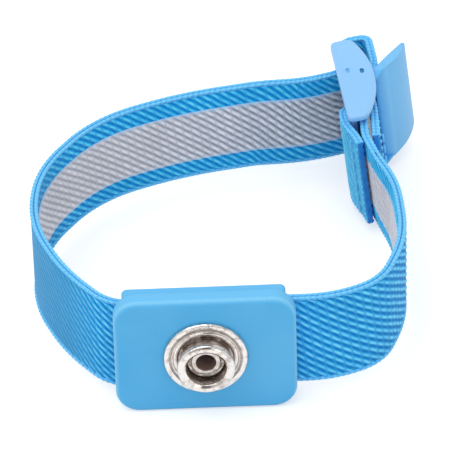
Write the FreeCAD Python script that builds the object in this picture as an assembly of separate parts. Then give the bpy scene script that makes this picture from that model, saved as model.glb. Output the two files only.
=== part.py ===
import FreeCAD, Part

import math
import os

# An elastic wrist strap with a snap plate at the front and a lever buckle at the back.
# Millimetres. X runs to the wearer's right, Y away from the snap, Z up. The strap stands on
# the lower edges of the plate and of the buckle, and the origin is the middle of its footprint.

Vector = FreeCAD.Vector

doc = FreeCAD.newDocument("wrist_strap")
sheet = doc.addObject("Spreadsheet::Sheet", "sizes")
sheet.Label = "sizes"

SIZES = {
    # where the middle of the plate's front face stands
    "plate_x": -5.46,
    "plate_y": -40.19,
    # woven elastic band
    "band_width": 18.2,
    "ply_thick": 0.65,
    "core_thick": 0.3,
    "core_inset": 0.7,
    "stripe_width": 10.6,
    "stripe_thick": 0.2,
    "touch_gap": 0.05,
    "entry_gap": 0.12,
    # moulded plate: a front cover and a back case that sits inside it
    "plate_width": 31.5,
    "plate_corner": 4.2,
    "plate_edge": 0.7,
    "cover_depth": 3.2,
    "cover_face": 1.4,
    "case_inset_x": 1.6,
    "case_inset_z": 1.5,
    "case_corner": 1.0,
    "case_front": 1.6,
    "case_wall": 0.9,
    "case_play": 0.25,
    "case_side": 1.7,
    "case_floor": 0.9,
    "case_depth": 6.6,
    "case_edge": 0.4,
    "seat_gap": 0.15,
    "boss_diameter": 8.0,
    "boss_root": 0.2,
    "slot_gap": 0.2,
    "slot_reach": 0.6,
    # ten millimetre snap stud and the rivet that holds it
    "turned_bevel": 0.3,
    "flange_diameter": 14.8,
    "flange_thick": 0.9,
    "flange_step": 0.35,
    "flange_lip": 1.05,
    "collar_reach": 0.9,
    "collar_width": 1.2,
    "collar_drop": 0.1,
    "stud_diameter": 10.0,
    "stud_rise": 4.1,
    "stud_wall": 0.6,
    "stud_neck": 0.45,
    "stud_rim": 0.8,
    "stud_bore": 6.8,
    "rivet_bore": 3.4,
    "rivet_shank": 4.1,
    "rivet_roll": 5.4,
    "rivet_lip": 0.45,
    "rivet_rise": 1.9,
    "rivet_fit": 0.1,
    "rivet_head": 6.6,
    "rivet_head_thick": 0.5,
    "washer_diameter": 9.0,
    "washer_thick": 0.4,
    "contact_width": 20.0,
    "contact_height": 14.0,
    "contact_corner": 4.0,
    "contact_thick": 0.5,
    # the band's loop, measured from the middle of the plate's front face
    "loop_depth": 68.8,
    "loop_right": 35.7,
    "loop_left": 29.9,
    # buckle frame, placed by its hinge pin
    "hinge_inset": 5.1,
    "buckle_turn": 5.0,
    "buckle_tilt": 6.0,
    "cheek_thick": 1.3,
    "cheek_inner": 3.2,
    "cheek_outer": 3.55,
    "cheek_near": 13.6,
    "cheek_far": 11.4,
    "cheek_round_near": 1.3,
    "cheek_round_far": 1.8,
    "cheek_tip_near": 0.3,
    "cheek_tip_far": 0.9,
    "cheek_edge": 0.65,
    "bar_thick": 1.6,
    "bar_long": 2.6,
    "near_bar_u": -2.0,
    "near_bar_v": -10.0,
    "far_bar_u": 0.0,
    "far_bar_v": 8.0,
    "far_bar_diameter": 1.8,
    "pin_diameter": 1.8,
    "pin_fit": 0.1,
    "pin_seat": 0.8,
    "pin_edge": 0.2,
    "mark_width": 0.75,
    "mark_long": 1.5,
    "mark_depth": 0.2,
    # lever
    "lever_angle": 56.5,
    "lever_tip": 14.5,
    "lever_heel": 3.3,
    "heel_outer": 2.45,
    "heel_thick": 0.45,
    "heel_length": 2.2,
    "heel_bulge": 0.45,
    "lever_inner": 1.95,
    "lever_outer": 3.7,
    "lever_bow": 0.4,
    "tip_inner": 2.6,
    "tip_outer": 3.1,
    "lever_gap": 0.15,
    "lever_corner": 0.5,
    "lever_taper": 0.9,
    "ear_play": 0.15,
    "ear_thick": 0.7,
    "ear_round": 1.9,
    "ear_start": 1.6,
    "ear_outer": 3.5,
    "ear_end": 6.1,
    # how the band lies in the buckle
    "wrap_gap": 0.15,
    "pin_gap": 0.3,
    "bar_gap": 0.1,
    "bar_play": 0.8,
    "leg_overrun": 0.3,
    "loop_slack": 3.2,
    "loop_inner": -0.4,
    "loop_bend": 1.1,
    "loop_meeting": 0.6,
    "loop_outer": 4.25,
    "loop_neck": 4.2,
    "loop_neck_v": 5.4,
    "loop_foot_v": 1.4,
    "hem_reach": 2.4,
    "hem_u": 1.4,
    "hem_tail": 1.6,
    "seam_reach": 2.8,
    "seam_u": -0.65,
    "leaf_tail_u": 0.45,
    "leaf_tail": 2.6,
    # sewing
    "stitch_thread": 0.45,
    "stitch_long": 1.7,
    "stitch_pitch": 2.4,
    "stitch_gap": 0.08,
}

for row, (name, value) in enumerate(SIZES.items(), start=1):
    sheet.set(f"A{row}", name)
    sheet.set(f"B{row}", str(value))
    sheet.setAlias(f"B{row}", name)
doc.recompute()


def size(name):
    return float(sheet.get(name))


PLATE_X = size("plate_x")
PLATE_Y = size("plate_y")
PLATE_WIDTH = size("plate_width")
BAND_WIDTH = size("band_width")
BAND_HALF = BAND_WIDTH / 2
BAND_THICK = 2 * size("ply_thick") + size("core_thick")
HALF_CORE = size("core_thick") / 2

# The case is as high as the band it holds, and the cover overhangs it.
CASE_HEIGHT = BAND_WIDTH + 2 * (size("case_play") + size("case_wall"))
PLATE_HEIGHT = CASE_HEIGHT + 2 * size("case_inset_z")
MID_Z = PLATE_HEIGHT / 2
CASE_WIDTH = PLATE_WIDTH - 2 * size("case_inset_x")
CASE_DEPTH = size("case_depth")
FLOOR_Y = CASE_DEPTH - size("case_floor")
STRIPE_BACK = FLOOR_Y - size("washer_thick")
SLOT_Y = STRIPE_BACK - size("stripe_thick") - BAND_THICK / 2
SLOT_FRONT = SLOT_Y - BAND_THICK / 2 - size("slot_gap")
SHANK_HOLE = size("rivet_shank") / 2 + size("rivet_fit")
BEVEL = size("turned_bevel")
FLANGE = size("flange_thick")

# The buckle is as high as the band and the lever's ears between its cheeks.
BUCKLE_PLAY = size("ear_play") + size("ear_thick") + size("lever_gap")
CHEEK_IN = BAND_HALF + BUCKLE_PLAY
CHEEK_OUT = CHEEK_IN + size("cheek_thick")
LEVER_HALF = CHEEK_IN - size("lever_gap")
PIN_HOLE = size("pin_diameter") / 2 + size("pin_fit")

# Margins that only make a cut or a test reach past the shape.
BEYOND = 1.0
TINY = 1e-6

nodes = []


def keep(label, shape, placement):
    """One named piece whose shape is worked out in code."""
    piece = doc.addObject("Part::Feature", label)
    piece.Label = label
    piece.Shape = shape.removeSplitter() if len(shape.Solids) == 1 else shape
    piece.Placement = placement
    nodes.append(piece)


# Routes are runs and tangent arcs in plan, so a strip beside one is exact at any distance.

def turn_between(run_in, run_out):
    cross = run_in.x * run_out.y - run_in.y * run_out.x
    return math.atan2(cross, run_in.dot(run_out))


def widest_radius(before, corner, after, share=0.47):
    run_in = corner - before
    run_out = after - corner
    turn = abs(turn_between(run_in, run_out))
    return share * min(run_in.Length, run_out.Length) / math.tan(turn / 2)


def left_of(direction):
    return Vector(-direction.y, direction.x, 0)


def strip_edges(points, radii, aside):
    """Edges of the route moved aside to its left, from its first point to its last."""
    edges = []
    last = len(points) - 1
    start = points[0] + left_of((points[1] - points[0]).normalize()) * aside
    for index in range(1, last):
        run_in = (points[index] - points[index - 1]).normalize()
        run_out = (points[index + 1] - points[index]).normalize()
        turn = turn_between(run_in, run_out)
        side = 1 if turn > 0 else -1
        radius = radii[index - 1]
        reach = radius * math.tan(abs(turn) / 2)
        first = points[index] - run_in * reach
        centre = first + left_of(run_in) * (side * radius)
        moved = radius - side * aside
        arc_in = centre - left_of(run_in) * (side * moved)
        arc_out = centre - left_of(run_out) * (side * moved)
        middle = centre - left_of((run_in + run_out).normalize()) * (side * moved)
        if (arc_in - start).Length > TINY:
            edges.append(Part.LineSegment(start, arc_in).toShape())
        edges.append(Part.Arc(arc_in, middle, arc_out).toShape())
        start = arc_out
    finish = points[last] + left_of((points[last] - points[last - 1]).normalize()) * aside
    if (finish - start).Length > TINY:
        edges.append(Part.LineSegment(start, finish).toShape())
    return edges


def strip(points, radii, aside_low, aside_high, half_height):
    """An upright strip along a route, between two distances to its left."""
    near = strip_edges(points, radii, aside_low)
    far = strip_edges(points, radii, aside_high)
    first = Part.LineSegment(near[0].Vertexes[0].Point, far[0].Vertexes[0].Point).toShape()
    last = Part.LineSegment(near[-1].Vertexes[-1].Point, far[-1].Vertexes[-1].Point).toShape()
    outline = Part.Wire(Part.__sortEdges__(near + far + [first, last]))
    face = Part.Face(outline)
    face.translate(Vector(0, 0, -half_height))
    return face.extrude(Vector(0, 0, 2 * half_height))


def rounded_plate(width, height, corner, y_front, y_back):
    """A rounded rectangle seen from the front, standing between two depths."""
    block = Part.makeBox(width, y_back - y_front, height, Vector(-width / 2, y_front, -height / 2))
    upright = [edge for edge in block.Edges if abs(edge.tangentAt(edge.FirstParameter).y) > 0.99]
    return block.makeFillet(corner, upright)


def edges_behind(shape, depth):
    return [edge for edge in shape.Edges if edge.BoundBox.YMin > depth - TINY]


def tube_along_y(diameter, y_front, y_back):
    return Part.makeCylinder(diameter / 2, y_back - y_front, Vector(0, y_front, 0), Vector(0, 1, 0))


def turned(profile):
    """A turned piece: a closed profile of (radius, depth) points spun about the snap axis."""
    points = [Vector(radius, depth, 0) for radius, depth in profile]
    outline = Part.makePolygon(points + [points[0]])
    return Part.Face(outline).revolve(Vector(0, 0, 0), Vector(0, 1, 0), 360)


plate_place = FreeCAD.Placement(Vector(PLATE_X, PLATE_Y, MID_Z), FreeCAD.Rotation())


# Front cover: a shallow rounded shell with a boss round the rivet.
def make_front_cover():
    depth = size("cover_depth")
    face = size("cover_face")
    gap = size("seat_gap")
    block = rounded_plate(PLATE_WIDTH, PLATE_HEIGHT, size("plate_corner"), 0, depth)
    front_edges = [edge for edge in block.Edges if edge.BoundBox.YMax < TINY]
    block = block.makeFillet(size("plate_edge"), front_edges)
    block = block.makeFillet(size("case_edge"), edges_behind(block, depth))
    room = rounded_plate(CASE_WIDTH + 2 * gap, CASE_HEIGHT + 2 * gap, size("case_corner") + gap,
                         face, depth + BEYOND)
    boss_end = SLOT_Y - BAND_THICK / 2 - size("touch_gap")
    boss = tube_along_y(size("boss_diameter"), face - size("boss_root"), boss_end)
    hole = tube_along_y(2 * SHANK_HOLE, -BEYOND, boss_end + BEYOND)
    return block.cut(room).fuse(boss).cut(hole)


# Back case: a tray with a slot at each side where the band goes through.
def make_back_case():
    front = size("case_front")
    block = rounded_plate(CASE_WIDTH, CASE_HEIGHT, size("case_corner"), front, CASE_DEPTH)
    block = block.makeFillet(size("case_edge"), edges_behind(block, CASE_DEPTH))
    inner_width = CASE_WIDTH - 2 * size("case_side")
    inner_height = CASE_HEIGHT - 2 * size("case_wall")
    inner_corner = size("case_corner") / 2
    room = rounded_plate(inner_width, inner_height, inner_corner, front - BEYOND, FLOOR_Y)
    slot_width = CASE_WIDTH + 2 * BEYOND
    slot_height = BAND_WIDTH + 2 * size("slot_gap")
    slot = Part.makeBox(slot_width, FLOOR_Y - SLOT_FRONT, slot_height,
                        Vector(-slot_width / 2, SLOT_FRONT, -slot_height / 2))
    hole = tube_along_y(2 * SHANK_HOLE, 0, CASE_DEPTH + BEYOND)
    return block.cut(room).cut(slot).cut(hole)


keep("front_cover", make_front_cover(), plate_place)
keep("back_case", make_back_case(), plate_place)


# Snap stud: a stepped flange on the cover, a drum with a rolled rim, and an eyelet rivet.
def make_stud_flange():
    rim = size("flange_diameter") / 2
    lip = rim - size("flange_lip")
    top = -FLANGE
    floor = top + size("flange_step")
    collar_out = size("stud_diameter") / 2 + size("collar_reach")
    collar_in = collar_out - size("collar_width")
    collar_top = top + size("collar_drop")
    profile = [(SHANK_HOLE, 0), (rim - BEVEL, 0), (rim, -BEVEL), (rim, top + BEVEL),
               (rim - BEVEL, top), (lip + BEVEL, top), (lip, floor), (collar_out, floor),
               (collar_out - BEVEL, collar_top), (collar_in + BEVEL, collar_top),
               (collar_in, floor), (SHANK_HOLE, floor)]
    return turned(profile)


def make_stud_drum():
    outer = size("stud_diameter") / 2
    bore = size("stud_bore") / 2
    neck = outer - size("stud_neck")
    rise = -size("stud_rise")
    roll = size("stud_rim")
    base = -FLANGE + size("flange_step")
    floor = base - size("stud_wall")
    profile = [(SHANK_HOLE, base), (neck, base), (neck, rise + 2 * roll), (outer, rise + 1.5 * roll),
               (outer, rise + 0.5 * roll), (outer - BEVEL, rise), (bore + BEVEL, rise),
               (bore, rise + 0.5 * roll), (bore, floor), (SHANK_HOLE, floor)]
    return turned(profile)


def make_rivet_eyelet():
    bore = size("rivet_bore") / 2
    shank = size("rivet_shank") / 2
    roll = size("rivet_roll") / 2
    head = size("rivet_head") / 2
    front = -size("rivet_rise")
    roll_back = front + size("rivet_lip")
    back = CASE_DEPTH + size("contact_thick")
    head_back = back + size("rivet_head_thick")
    profile = [(bore, front + BEVEL), (bore + BEVEL, front), (roll - BEVEL, front),
               (roll, front + BEVEL), (roll, roll_back), (shank, roll_back + BEVEL), (shank, back),
               (head, back), (head, head_back - BEVEL), (head - BEVEL, head_back),
               (bore + BEVEL, head_back), (bore, head_back - BEVEL)]
    return turned(profile)


def make_contact_washer():
    outer = tube_along_y(size("washer_diameter"), STRIPE_BACK, FLOOR_Y)
    return outer.cut(tube_along_y(2 * SHANK_HOLE, 0, CASE_DEPTH))


def make_contact_plate():
    back = CASE_DEPTH + size("contact_thick")
    block = rounded_plate(size("contact_width"), size("contact_height"), size("contact_corner"),
                          CASE_DEPTH, back)
    return block.cut(tube_along_y(2 * SHANK_HOLE, 0, back + BEYOND))


keep("stud_flange", make_stud_flange(), plate_place)
keep("stud_drum", make_stud_drum(), plate_place)
keep("rivet_eyelet", make_rivet_eyelet(), plate_place)
keep("contact_washer", make_contact_washer(), plate_place)
keep("contact_plate", make_contact_plate(), plate_place)


# The band's route in plan, measured from the plate's front face, from the sewn loop at the
# buckle round the front of the wrist, through the plate and back to the buckle. The wearer's
# side is on the right of this direction of travel.
SLOT_SIDE = PLATE_WIDTH / 2 + size("slot_reach")
RIGHT_BEND = SLOT_SIDE + 5.8
RIGHT_BEND_RADIUS = 22.0
LEFT_BEND_RADIUS = 9.0
DEPTH = size("loop_depth")
RIGHT = size("loop_right")
LEFT = size("loop_left")
hinge = Vector(RIGHT - size("hinge_inset"), DEPTH, 0)
ROUTE = [
    hinge + Vector(2.3, -22.4, 0),
    hinge + Vector(4.6, -30.4, 0),
    Vector(RIGHT, 0.305 * DEPTH, 0),
    Vector(0.868 * RIGHT, 0.122 * DEPTH, 0),
    Vector(RIGHT_BEND, SLOT_Y, 0),
    Vector(-SLOT_SIDE, SLOT_Y, 0),
    Vector(-0.81 * LEFT, 0.212 * DEPTH, 0),
    Vector(-LEFT, 0.422 * DEPTH, 0),
    Vector(-0.957 * LEFT, 0.654 * DEPTH, 0),
    Vector(-0.622 * LEFT, 0.872 * DEPTH, 0),
    hinge + Vector(-33.6, -1.8, 0),
    hinge + Vector(-2.6, 4.5, 0),
]
ROUTE_RADII = [widest_radius(*ROUTE[index - 1:index + 2]) for index in range(1, len(ROUTE) - 1)]
ROUTE_RADII[3] = min(ROUTE_RADII[3], RIGHT_BEND_RADIUS)
ROUTE_RADII[4] = min(ROUTE_RADII[4], LEFT_BEND_RADIUS)

# The buckle stands on its own axes: U outward from the wrist, V along the frame to its far
# end, W up along the hinge pin, which is the origin.
lean = FreeCAD.Rotation(Vector(0, 1, 0), -size("buckle_tilt"))
heading = FreeCAD.Rotation(Vector(0, 0, 1), size("buckle_turn"))
buckle_place = FreeCAD.Placement(plate_place.multVec(hinge), heading.multiply(lean))


def into_buckle(point):
    """A point of the band's route as the buckle's own U and V."""
    return heading.inverted().multVec(point - hinge)


# Where the band enters between the cheeks: a plane of the buckle, past the cheeks' inner side.
ENTRY_U = -size("cheek_inner") - 1.1
last_run = into_buckle(ROUTE[-1]) - into_buckle(ROUTE[-2])
entry_slope = last_run.y / last_run.x
ENTRY_V = into_buckle(ROUTE[-1]).y + (ENTRY_U - into_buckle(ROUTE[-1]).x) * entry_slope


def main_ply(aside_low, aside_high, half_height):
    """A layer of the band from the sewn loop to the buckle's entry."""
    ply = strip(ROUTE, ROUTE_RADII, aside_low, aside_high, half_height)
    corner = Vector(ENTRY_U - size("entry_gap"), ENTRY_V - BAND_HALF, -2 * CHEEK_OUT)
    past_entry = Part.makeBox(BAND_HALF, BAND_WIDTH, 4 * CHEEK_OUT, corner)
    past_entry.Placement = plate_place.inverse().multiply(buckle_place)
    rivet_hole = tube_along_y(2 * SHANK_HOLE, 0, CASE_DEPTH)
    return ply.cut(past_entry).cut(rivet_hole)


SKIN = BAND_THICK / 2
keep("band_outer_ply", main_ply(HALF_CORE, SKIN, BAND_HALF), plate_place)
keep("band_elastic_core", main_ply(-HALF_CORE, HALF_CORE, BAND_HALF - size("core_inset")), plate_place)
keep("band_inner_ply", main_ply(-SKIN, -HALF_CORE, BAND_HALF), plate_place)
keep("conductive_stripe", main_ply(-SKIN - size("stripe_thick"), -SKIN, size("stripe_width") / 2),
     plate_place)


# Buckle frame: two D shaped cheeks joined by a bar near each end. The pin is seated in blind
# holes, and each cheek has two small shallow slots outside.
PIN_END = CHEEK_IN + size("pin_seat")
INNER_MARK = Vector(-1.15, 1.05, 0)
OUTER_MARK = Vector(1.4, 0.25, 0)


def cheek_outline():
    """A straight side at the wrist and a bowed side outward, between two short ends."""
    inner = -size("cheek_inner")
    near = -size("cheek_near")
    far = size("cheek_far")
    near_inner = Vector(inner, near, 0)
    far_inner = Vector(inner, far, 0)
    far_tip = Vector(size("cheek_tip_far"), far, 0)
    near_tip = Vector(size("cheek_tip_near"), near, 0)
    belly = Vector(size("cheek_outer"), 0, 0)
    edges = [
        Part.LineSegment(near_inner, far_inner).toShape(),
        Part.LineSegment(far_inner, far_tip).toShape(),
        Part.Arc(far_tip, belly, near_tip).toShape(),
        Part.LineSegment(near_tip, near_inner).toShape(),
    ]
    return Part.Face(Part.Wire(edges))


def upright_edges(shape, side):
    """The edges along W that stand toward the near end, side -1, or the far end, side 1."""
    return [edge for edge in shape.Edges
            if edge.BoundBox.ZLength > TINY and side * edge.CenterOfMass.y > 0]


def make_mark(place):
    """A small slot with round ends, along the cheek."""
    width = size("mark_width")
    run = size("mark_long") - width
    floor = CHEEK_OUT - size("mark_depth")
    slot = Part.makeBox(width, run, BEYOND, Vector(place.x - width / 2, place.y - run / 2, floor))
    for end in (-run / 2, run / 2):
        slot = slot.fuse(Part.makeCylinder(width / 2, BEYOND, Vector(place.x, place.y + end, floor)))
    return slot


def make_upper_cheek():
    thick = size("cheek_thick")
    cheek = cheek_outline().extrude(Vector(0, 0, thick))
    cheek = cheek.makeFillet(size("cheek_round_near"), upright_edges(cheek, -1))
    cheek = cheek.makeFillet(size("cheek_round_far"), upright_edges(cheek, 1))
    rim = [edge for edge in cheek.Edges if edge.BoundBox.ZMin > thick - TINY]
    cheek = cheek.makeFillet(size("cheek_edge"), rim)
    cheek.translate(Vector(0, 0, CHEEK_IN))
    cheek = cheek.cut(Part.makeCylinder(PIN_HOLE, PIN_END + size("pin_fit")))
    for place in (INNER_MARK, OUTER_MARK):
        cheek = cheek.cut(make_mark(place))
    return cheek


def make_near_bar():
    thick = size("bar_thick")
    long = size("bar_long")
    corner = Vector(size("near_bar_u") - thick / 2, size("near_bar_v") - long / 2, -CHEEK_IN)
    bar = Part.makeBox(thick, long, 2 * CHEEK_IN, corner)
    upright = [edge for edge in bar.Edges if abs(edge.tangentAt(edge.FirstParameter).z) > 0.99]
    return bar.makeFillet(0.42 * thick, upright)


def make_buckle_frame():
    upper = make_upper_cheek()
    lower = upper.mirror(Vector(0, 0, 0), Vector(0, 0, 1))
    far_bar = Part.makeCylinder(size("far_bar_diameter") / 2, 2 * CHEEK_IN,
                                Vector(size("far_bar_u"), size("far_bar_v"), -CHEEK_IN))
    return upper.multiFuse([lower, make_near_bar(), far_bar])


def make_hinge_pin():
    pin = Part.makeCylinder(size("pin_diameter") / 2, 2 * PIN_END, Vector(0, 0, -PIN_END))
    rims = [edge for edge in pin.Edges if edge.BoundBox.ZLength < TINY]
    return pin.makeFillet(size("pin_edge"), rims)


keep("buckle_frame", make_buckle_frame(), buckle_place)
keep("hinge_pin", make_hinge_pin(), buckle_place)


# Lever: a bowed plate between the cheeks, carried by an ear at each end of the pin. It is
# drawn standing open. It thins and narrows toward its tip, and its heel curls in.
lever_turn = math.radians(size("lever_angle"))
along = Vector(math.cos(lever_turn), math.sin(lever_turn), 0)
outward = Vector(math.sin(lever_turn), -math.cos(lever_turn), 0)


def lever_point(reach, offset):
    """A point of the lever by its distance along the plate and its distance from the pin."""
    return along * reach + outward * offset


def make_end_trim(side):
    """What is cut off one end of the plate, so that it narrows toward its tip."""
    shoulder = size("lever_heel") + size("heel_length")
    past = size("lever_tip") + BEYOND
    drop = size("lever_taper") * (past - shoulder) / (size("lever_tip") - shoulder)
    corners = []
    for reach, level in ((shoulder, LEVER_HALF), (past, LEVER_HALF - drop), (past, LEVER_HALF + BEYOND),
                         (shoulder, LEVER_HALF + BEYOND)):
        corners.append(lever_point(reach, 0) + Vector(0, 0, side * level))
    wedge = Part.Face(Part.makePolygon(corners + [corners[0]]))
    return wedge.extrude(outward * 2 * size("lever_outer"))


def make_lever_plate():
    heel = size("lever_heel")
    shoulder = heel + size("heel_length")
    tip = size("lever_tip")
    inner = size("lever_inner")
    outer = size("lever_outer")
    heel_outer = size("heel_outer")
    heel_middle = (heel_outer + outer) / 2 + size("heel_bulge")
    outer_heel = lever_point(heel, heel_outer)
    outer_curl = lever_point((heel + shoulder) / 2, heel_middle)
    outer_shoulder = lever_point(shoulder, outer)
    outer_middle = lever_point((shoulder + tip) / 2, outer + size("lever_bow"))
    outer_tip = lever_point(tip, size("tip_outer"))
    inner_tip = lever_point(tip, size("tip_inner"))
    inner_middle = lever_point((shoulder + tip) / 2, inner + size("lever_bow") / 2)
    inner_shoulder = lever_point(shoulder, inner)
    inner_heel = lever_point(heel, heel_outer - size("heel_thick"))
    edges = [
        Part.Arc(outer_heel, outer_curl, outer_shoulder).toShape(),
        Part.Arc(outer_shoulder, outer_middle, outer_tip).toShape(),
        Part.LineSegment(outer_tip, inner_tip).toShape(),
        Part.Arc(inner_tip, inner_middle, inner_shoulder).toShape(),
        Part.LineSegment(inner_shoulder, inner_heel).toShape(),
        Part.LineSegment(inner_heel, outer_heel).toShape(),
    ]
    plate = Part.Face(Part.Wire(edges)).extrude(Vector(0, 0, 2 * LEVER_HALF))
    plate.translate(Vector(0, 0, -LEVER_HALF))
    plate = plate.cut(make_end_trim(1)).cut(make_end_trim(-1))
    corners = []
    for edge in plate.Edges:
        across = abs(edge.tangentAt(edge.FirstParameter).dot(outward)) > 0.99
        at_tip = edge.CenterOfMass.dot(along) > tip / 2
        if across and at_tip:
            corners.append(edge)
    return plate.makeFillet(size("lever_corner"), corners)


def make_ear(low):
    thick = size("ear_thick")
    end = size("ear_end")
    eye = size("ear_round")
    outer = size("ear_outer")
    middle = (size("lever_inner") + outer) / 2
    back = math.radians(-60)
    below = lever_point(eye * math.cos(back), eye * math.sin(back))
    outline = [lever_point(0, eye), lever_point(size("ear_start"), outer), lever_point(end, outer),
               lever_point(end, middle), below]
    web = Part.Face(Part.makePolygon(outline + [outline[0]])).extrude(Vector(0, 0, thick))
    ear = web.fuse(Part.makeCylinder(eye, thick))
    ear.translate(Vector(0, 0, low))
    return ear


def make_lever():
    ears = [make_ear(-LEVER_HALF), make_ear(LEVER_HALF - size("ear_thick"))]
    eye = Part.makeCylinder(PIN_HOLE, 4 * LEVER_HALF, Vector(0, 0, -2 * LEVER_HALF))
    return make_lever_plate().multiFuse(ears).cut(eye)


keep("lever", make_lever(), buckle_place)


# The band's stretches inside the buckle. They lean with it, so they are drawn on its axes.
def buckle_strip(points, radii):
    return strip(points, radii, -SKIN, SKIN, BAND_HALF)


# In between the cheeks, past the inner side of the far bar and out at the far end.
FAR_LEG_U = size("far_bar_u") - size("far_bar_diameter") / 2 - size("wrap_gap") - SKIN
PIN_LEG_U = size("pin_diameter") / 2 + size("pin_gap") + SKIN
LOOP_TOP = size("cheek_far") + size("loop_slack")
MEETING_U = PIN_LEG_U + size("loop_meeting")
FAR_LOOP = [
    Vector(ENTRY_U, ENTRY_V, 0),
    Vector(FAR_LEG_U, ENTRY_V + (FAR_LEG_U - ENTRY_U) * entry_slope, 0),
    Vector(FAR_LEG_U, size("far_bar_v") + size("loop_bend"), 0),
    Vector(size("loop_inner"), LOOP_TOP, 0),
    Vector(MEETING_U, LOOP_TOP, 0),
]
FAR_LOOP_RADII = [2.0, 4.0, 2.2]

# The slack loop that comes back, and passes between the pin and the lever.
UNDER_LEVER = [
    Vector(MEETING_U + size("touch_gap"), LOOP_TOP, 0),
    Vector(size("loop_outer"), LOOP_TOP, 0),
    Vector(size("loop_neck"), size("loop_neck_v"), 0),
    Vector(PIN_LEG_U, size("loop_foot_v"), 0),
    Vector(PIN_LEG_U, size("leg_overrun"), 0),
]
UNDER_LEVER_RADII = [1.5, 5.0, 4.0]

# The free end, lying on the outer side as far as the seam.
HEM_U = size("hem_u")
HEM_V = -size("cheek_near") - size("hem_reach")
FREE_END = [
    Vector(PIN_LEG_U, size("leg_overrun") - size("touch_gap"), 0),
    Vector(PIN_LEG_U, -9.0, 0),
    Vector(HEM_U, HEM_V, 0),
    Vector(HEM_U - 0.2, HEM_V - size("hem_tail"), 0),
]
FREE_END_RADII = [20.0, 20.0]

# The front stretch folds inward round the near bar and is sewn back on itself.
SEAM_V = -size("cheek_near") - size("seam_reach")
SEAM_U = size("seam_u")
LEAF_U = SEAM_U - BAND_THICK - size("bar_gap")
BAR_LEG = size("bar_thick") / 2 + size("bar_gap") + SKIN
BAR_OUTER_U = size("near_bar_u") + BAR_LEG
BAR_INNER_U = size("near_bar_u") - BAR_LEG
BAR_TOP_V = size("near_bar_v") + size("bar_long") / 2 + size("bar_play") + SKIN
BAR_FOOT_V = size("near_bar_v") - size("bar_long") / 2 - 0.3
MAIN_START = into_buckle(ROUTE[0])
MAIN_RUN = (into_buckle(ROUTE[0]) - into_buckle(ROUTE[1])).normalize()
SEWN_END = [
    MAIN_START + MAIN_RUN * 0.3,
    Vector(SEAM_U, SEAM_V, 0),
    Vector(BAR_OUTER_U, BAR_FOOT_V, 0),
    Vector(BAR_OUTER_U, BAR_TOP_V, 0),
    Vector(BAR_INNER_U, BAR_TOP_V, 0),
    Vector(BAR_INNER_U, BAR_FOOT_V, 0),
    Vector(LEAF_U, SEAM_V, 0),
    Vector(LEAF_U + size("leaf_tail_u"), SEAM_V - size("leaf_tail"), 0),
]
FOLD_RADIUS = 0.99 * BAR_LEG
SEWN_END_RADII = [10.0, 10.0, FOLD_RADIUS, FOLD_RADIUS, 10.0, 8.0]

keep("band_at_far_bar", buckle_strip(FAR_LOOP, FAR_LOOP_RADII), buckle_place)
keep("band_under_lever", buckle_strip(UNDER_LEVER, UNDER_LEVER_RADII), buckle_place)
keep("band_free_end", buckle_strip(FREE_END, FREE_END_RADII), buckle_place)
keep("band_sewn_end", buckle_strip(SEWN_END, SEWN_END_RADII), buckle_place)


# Sewing: a row of stitches lying on a layer, up the band's width.
def stitch_row(place_u, place_v):
    thread = size("stitch_thread")
    long = size("stitch_long")
    pitch = size("stitch_pitch")
    spaces = int((BAND_WIDTH - pitch) / pitch)
    stitches = []
    for index in range(spaces + 1):
        middle = (index - spaces / 2) * pitch
        foot = Vector(place_u, place_v, middle - long / 2)
        stitches.append(Part.makeCylinder(thread / 2, long, foot))
    return Part.makeCompound(stitches)


ON_FACE = SKIN + size("stitch_thread") / 2 + size("stitch_gap")
keep("sewn_end_stitches", stitch_row(LEAF_U - ON_FACE, SEAM_V), buckle_place)
keep("free_end_stitches", stitch_row(HEM_U + ON_FACE, HEM_V), buckle_place)

doc.recompute()
for piece in nodes:
    if piece.Shape.isNull() or not piece.Shape.isValid():
        raise RuntimeError(f"{piece.Label} has a broken shape")

os.makedirs("parts", exist_ok=True)
for piece in nodes:
    piece.Shape.exportStep(f"parts/{piece.Label}.step")
whole = Part.makeCompound([piece.Shape for piece in nodes])
print("box", whole.optimalBoundingBox())
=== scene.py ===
import math

import bmesh
import bpy
import numpy as np
from mathutils import Matrix, Vector


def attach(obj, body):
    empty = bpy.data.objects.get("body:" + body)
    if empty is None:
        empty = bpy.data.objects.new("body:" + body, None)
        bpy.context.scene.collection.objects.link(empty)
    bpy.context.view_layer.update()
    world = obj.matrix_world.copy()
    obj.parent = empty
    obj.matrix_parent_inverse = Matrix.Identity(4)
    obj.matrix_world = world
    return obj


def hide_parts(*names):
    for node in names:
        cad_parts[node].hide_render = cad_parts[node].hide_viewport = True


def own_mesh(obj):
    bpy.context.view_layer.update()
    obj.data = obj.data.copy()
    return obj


# The wrist strap's looks: a double woven elastic band on a moulded snap plate and a lever
# buckle. Shapes are worked out in millimetres on the plate's or the buckle's own axes and
# become metres as they are placed.

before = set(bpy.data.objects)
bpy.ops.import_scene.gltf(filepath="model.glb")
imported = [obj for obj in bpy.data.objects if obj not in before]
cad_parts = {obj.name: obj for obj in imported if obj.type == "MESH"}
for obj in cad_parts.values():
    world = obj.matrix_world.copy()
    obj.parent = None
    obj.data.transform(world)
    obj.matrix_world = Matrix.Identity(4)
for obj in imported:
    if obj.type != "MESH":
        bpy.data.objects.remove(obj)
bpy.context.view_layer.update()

MM = 0.001

PLATE_AT = Vector((-5.46, -40.19, 11.75))
HINGE = Vector((30.6, 68.8, 0.0))
BUCKLE_TURN = math.radians(5.0)
BUCKLE_TILT = math.radians(-6.0)

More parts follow.
